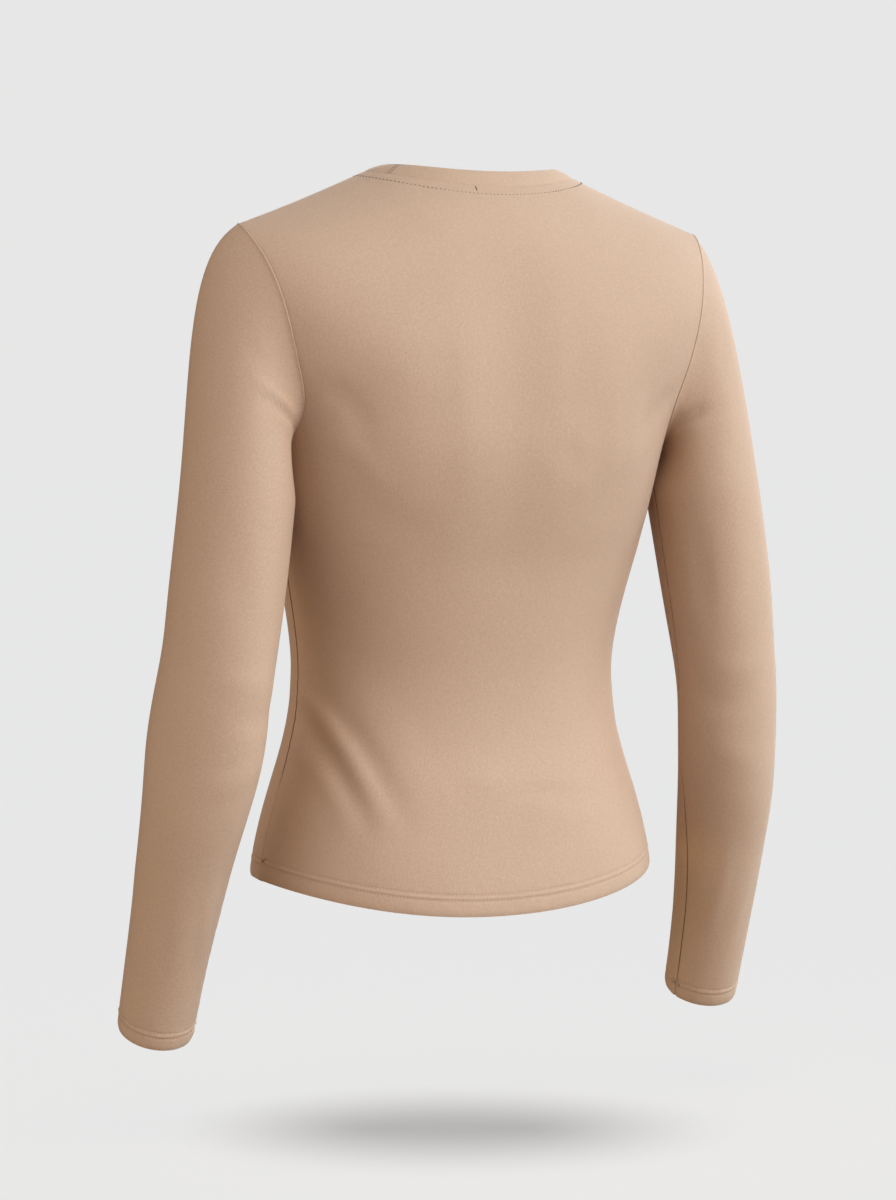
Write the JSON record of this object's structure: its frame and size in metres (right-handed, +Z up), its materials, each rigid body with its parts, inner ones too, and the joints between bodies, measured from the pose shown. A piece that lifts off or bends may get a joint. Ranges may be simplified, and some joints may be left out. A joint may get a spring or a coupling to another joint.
{
  "type": "long-sleeve t-shirt",
  "caption": "Fitted long-sleeve crew-neck t-shirt in smooth jersey, worn and hollow with no wearer: neck, hem, cuffs and armholes are open.",
  "frame": {"origin": "middle of the neck opening, level with the high points of the shoulders, where the wearer's shoulders and neck hold the shirt up", "axes": "+Z up; the front of the shirt faces -Y and its back +Y; +X is the wearer's left"},
  "size_m": [0.5316, 0.2506, 0.6796],
  "materials": {
    "back": "smooth fine knit, soft matte sheen",
    "front": "smooth fine knit, soft matte sheen",
    "sleeve_left": "smooth fine knit, soft matte sheen",
    "sleeve_right": "smooth fine knit, soft matte sheen",
    "neckband": "smooth fine knit, soft matte sheen"
  },
  "bodies": {
    "root": {"back": "back", "front": "front", "sleeve_left": "sleeve_left", "sleeve_right": "sleeve_right", "neckband": "neckband"}
  },
  "joints": []
}
